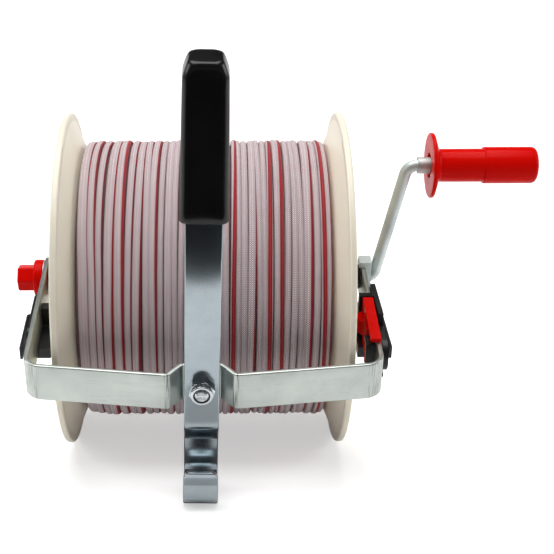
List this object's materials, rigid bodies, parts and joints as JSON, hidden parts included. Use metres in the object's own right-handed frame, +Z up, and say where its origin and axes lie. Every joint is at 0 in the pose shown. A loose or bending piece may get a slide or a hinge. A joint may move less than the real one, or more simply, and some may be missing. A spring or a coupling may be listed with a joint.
{
  "type": "electric fence reel",
  "caption": "Hand reel for electric fence rope: flanged drum in a bent strip yoke with hook and grip, side crank, brake knob and drum lock lever.",
  "frame": {"origin": "floor point under the middle of the drum's axis, with the reel standing on its two flanges and the end of its hook", "axes": "+X along the drum's axis towards the crank, -Y out of the front where the handle bar is, +Z up"},
  "size_m": [0.3986, 0.3365, 0.3358],
  "materials": {
    "cream_plastic": "satin",
    "fence_rope": "woven",
    "zinc_plate": "zinc plated",
    "red_plastic": "gloss",
    "black_grip": "satin",
    "black_nylon": "satin"
  },
  "bodies": {
    "frame": {"frame_yoke": "zinc_plate", "handle_bar": "zinc_plate", "hand_grip": "black_grip", "frame_bolt": "zinc_plate", "frame_washer": "zinc_plate", "frame_nut": "zinc_plate", "nut_insert": "black_nylon", "shaft_bush_left": "black_nylon", "shaft_bush_right": "black_nylon", "bearing_plate": "zinc_plate", "arm_clip_left": "black_nylon", "arm_clip_right": "black_nylon", "lock_pin": "zinc_plate", "lock_spring": "zinc_plate"},
    "drum": {"drum_flange_left": "cream_plastic", "drum_flange_right": "cream_plastic", "drum_core": "cream_plastic", "wound_line": "fence_rope", "clamp_screws": "zinc_plate", "clamp_nuts": "zinc_plate", "crank_rod": "zinc_plate", "drive_pin": "zinc_plate", "brake_disc": "red_plastic", "cup_spring": "zinc_plate", "brake_washer": "zinc_plate", "handle_sleeve": "zinc_plate", "handle_ring": "zinc_plate"},
    "knob": {"brake_knob": "red_plastic"},
    "handle": {"crank_handle": "red_plastic"},
    "lock": {"lock_lever": "red_plastic"}
  },
  "joints": [
    {"name": "drum_spin", "type": "hinge", "parent": "frame", "child": "drum", "pos_m": [0, 0, 0.13], "axis": [1, 0, 0], "continuous": true},
    {"name": "handle_spin", "type": "hinge", "parent": "drum", "child": "handle", "pos_m": [0.21, -0.02261, 0.22566], "axis": [1, 0, 0], "continuous": true},
    {"name": "knob_turn", "type": "hinge", "parent": "drum", "child": "knob", "pos_m": [-0.138, 0, 0.13], "axis": [1, 0, 0], "range_deg": [-270, 60]},
    {"name": "lock_swing", "type": "hinge", "parent": "frame", "child": "lock", "pos_m": [0.1196, -0.10121, 0.10608], "axis": [0, -0.23, 0.9732], "range_deg": [0, 18], "stiffness_Nm_per_rad": 0.02, "springref_deg": -11.46}
  ]
}
